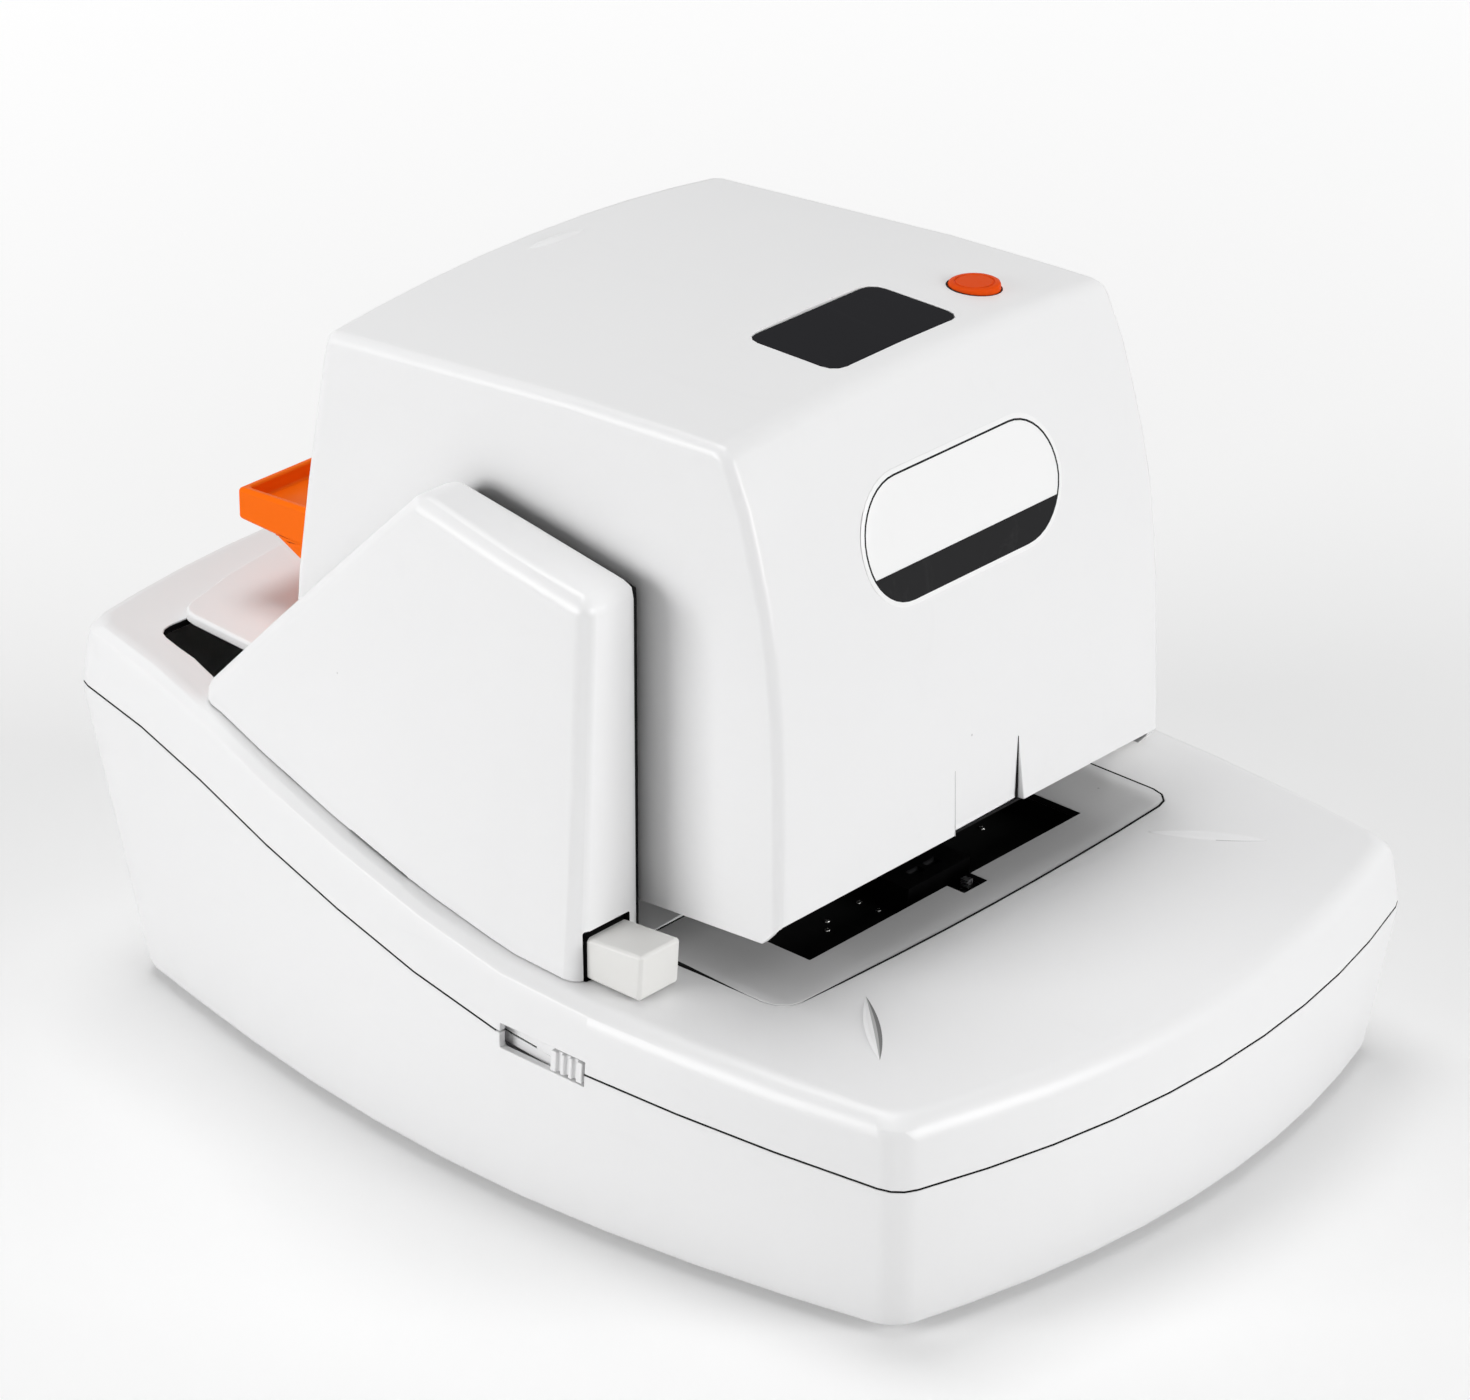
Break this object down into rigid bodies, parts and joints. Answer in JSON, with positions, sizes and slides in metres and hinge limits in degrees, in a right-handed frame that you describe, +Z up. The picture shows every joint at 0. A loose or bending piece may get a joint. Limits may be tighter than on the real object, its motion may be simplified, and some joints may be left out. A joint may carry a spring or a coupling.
{
  "type": "electric stapler",
  "caption": "White desk-top electric stapler with a wide base, a sloped paper table, side shrouds and a nodding head that drives flat-clinched staples.",
  "frame": {"origin": "on the desk, below the middle of the base, at the feet's undersides", "axes": "+X to the user's right, +Y from the user towards the rear, +Z up"},
  "size_m": [0.2713, 0.382, 0.2497],
  "materials": {
    "white_plastic": "satin moulded plastic",
    "black_plastic": "black moulded plastic",
    "dark_window": "glossy dark window",
    "orange_plastic": "satin orange plastic",
    "gear_plastic": "natural engineering plastic",
    "steel": "plain steel",
    "brass": "sintered bearing brass",
    "board": "green circuit board with its components",
    "rubber": "black rubber"
  },
  "bodies": {
    "base": {"lower_case": "white_plastic", "table_cover": "white_plastic", "throat_insert": "white_plastic", "anvil_carrier": "black_plastic", "anvil": "steel", "trigger_switch": "black_plastic", "left_shroud": "white_plastic", "right_shroud": "white_plastic", "chassis_plate": "steel", "left_side_plate": "steel", "right_side_plate": "steel", "pivot_shaft": "steel", "lift_spring_post": "steel", "lift_spring": "steel", "rear_cover": "white_plastic", "main_board": "board", "power_supply": "board", "mains_inlet": "black_plastic", "foot_front_left": "rubber", "foot_front_right": "rubber", "foot_rear_left": "rubber", "foot_rear_right": "rubber"},
    "depth_stop": {"left_stop_block": "white_plastic", "right_stop_block": "white_plastic", "stop_cross_bar": "steel", "stop_slider_knob": "white_plastic"},
    "head": {"head_cover": "white_plastic", "display_window": "dark_window", "display_board": "board", "head_base_plate": "black_plastic", "head_frame": "steel", "left_pivot_bush": "brass", "right_pivot_bush": "brass", "nose_guide": "steel", "magazine_rail": "steel", "crank_shaft": "steel", "idler_shaft": "steel", "gear_motor": "steel"},
    "button": {"start_button": "orange_plastic"},
    "magazine": {"magazine_channel": "steel", "magazine_handle": "orange_plastic"},
    "pusher": {"staple_pusher": "gear_plastic"},
    "driver": {"driver_ram": "steel", "driver_blade": "steel"},
    "crank": {"crank_gear": "gear_plastic"},
    "idler": {"idler_gear": "gear_plastic"},
    "pinion": {"motor_pinion": "gear_plastic"},
    "trigger": {"trigger_lever": "steel"},
    "rocker": {"power_rocker": "black_plastic"}
  },
  "joints": [
    {"name": "stop_slide", "type": "slide", "parent": "base", "child": "depth_stop", "axis": [0, 0.9978, 0.0669], "range_m": [0, 0.019]},
    {"name": "head_nod", "type": "hinge", "parent": "base", "child": "head", "pos_m": [0, 0.06, 0.12], "axis": [1, 0, 0], "range_deg": [0, 5.2], "stiffness_Nm_per_rad": 20, "springref_deg": -17.19, "deforming": ["lift_spring"]},
    {"name": "start_press", "type": "slide", "parent": "head", "child": "button", "axis": [0, 0, -1], "range_m": [0, 0.002], "stiffness_N_per_m": 400, "springref_m": -0.0015},
    {"name": "magazine_pull", "type": "slide", "parent": "head", "child": "magazine", "axis": [0, 1, 0], "range_m": [0, 0.1]},
    {"name": "pusher_feed", "type": "slide", "parent": "magazine", "child": "pusher", "axis": [0, 1, 0], "range_m": [0, 0.12], "stiffness_N_per_m": 25, "springref_m": -0.03},
    {"name": "driver_stroke", "type": "slide", "parent": "head", "child": "driver", "axis": [0, 0, -1], "range_m": [0, 0.046]},
    {"name": "crank_turn", "type": "hinge", "parent": "head", "child": "crank", "pos_m": [0.005, -0.07, 0.178], "axis": [0, 1, 0], "continuous": true},
    {"name": "idler_turn", "type": "hinge", "parent": "head", "child": "idler", "pos_m": [-0.04081, -0.07, 0.19467], "axis": [0, 1, 0], "continuous": true},
    {"name": "pinion_turn", "type": "hinge", "parent": "head", "child": "pinion", "pos_m": [-0.05393, -0.07, 0.17194], "axis": [0, 1, 0], "continuous": true},
    {"name": "trigger_tip", "type": "hinge", "parent": "base", "child": "trigger", "pos_m": [0.005, -0.09276, 0.06956], "axis": [-1, 0, 0], "range_deg": [0, 30], "stiffness_Nm_per_rad": 0.01, "springref_deg": -17.19},
    {"name": "rocker_tilt", "type": "hinge", "parent": "base", "child": "rocker", "pos_m": [-0.0145, 0.177, 0.036], "axis": [1, 0, 0], "range_deg": [0, 14]}
  ],
  "couplings": [
    {"joint": "idler_turn", "follows": "crank_turn", "ratio": -1.6},
    {"joint": "pinion_turn", "follows": "crank_turn", "ratio": 4}
  ]
}
